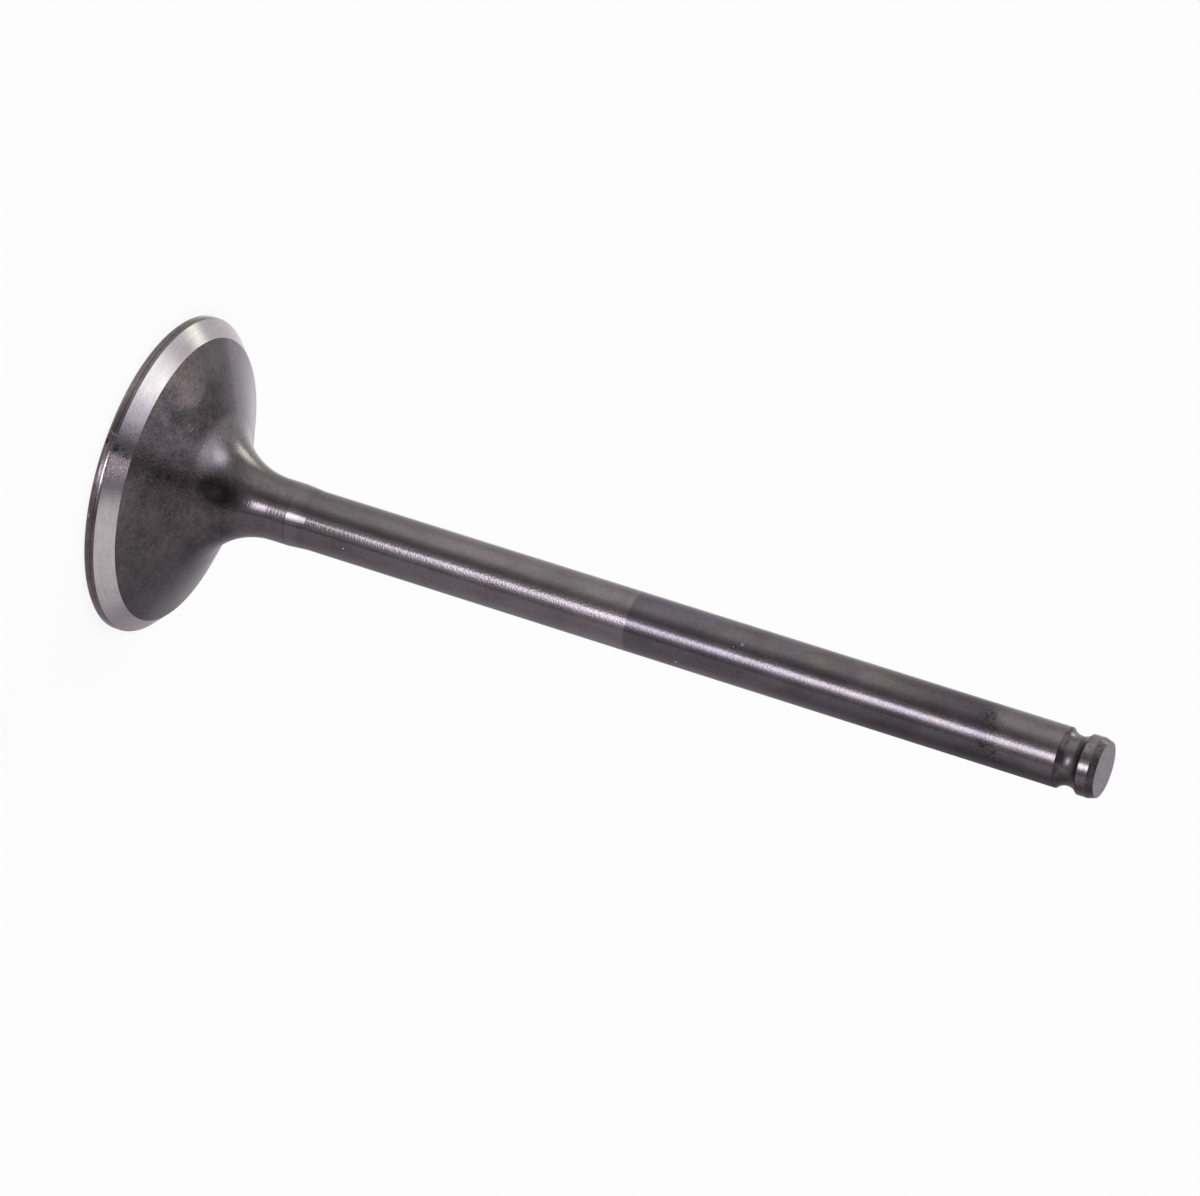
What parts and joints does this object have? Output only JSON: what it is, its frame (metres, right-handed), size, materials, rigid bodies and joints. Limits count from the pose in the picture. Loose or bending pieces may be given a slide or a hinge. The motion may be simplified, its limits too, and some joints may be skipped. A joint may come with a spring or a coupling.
{
  "type": "engine valve",
  "caption": "Poppet valve for an engine: flat round head with a ground seat face, underhead sweeping into a slim stem, and a keeper groove near the tip.",
  "frame": {"origin": "centre of the combustion face, on the surface that the valve stands on", "axes": "+Z along the stem, from the head towards the tip; the valve is round about Z, so +X and +Y are free"},
  "size_m": [0.032, 0.032, 0.0998],
  "materials": {
    "valve_steel": "dark heat-treated steel, ground bright on the seat face"
  },
  "bodies": {
    "root": {"valve": "valve_steel"}
  },
  "joints": []
}
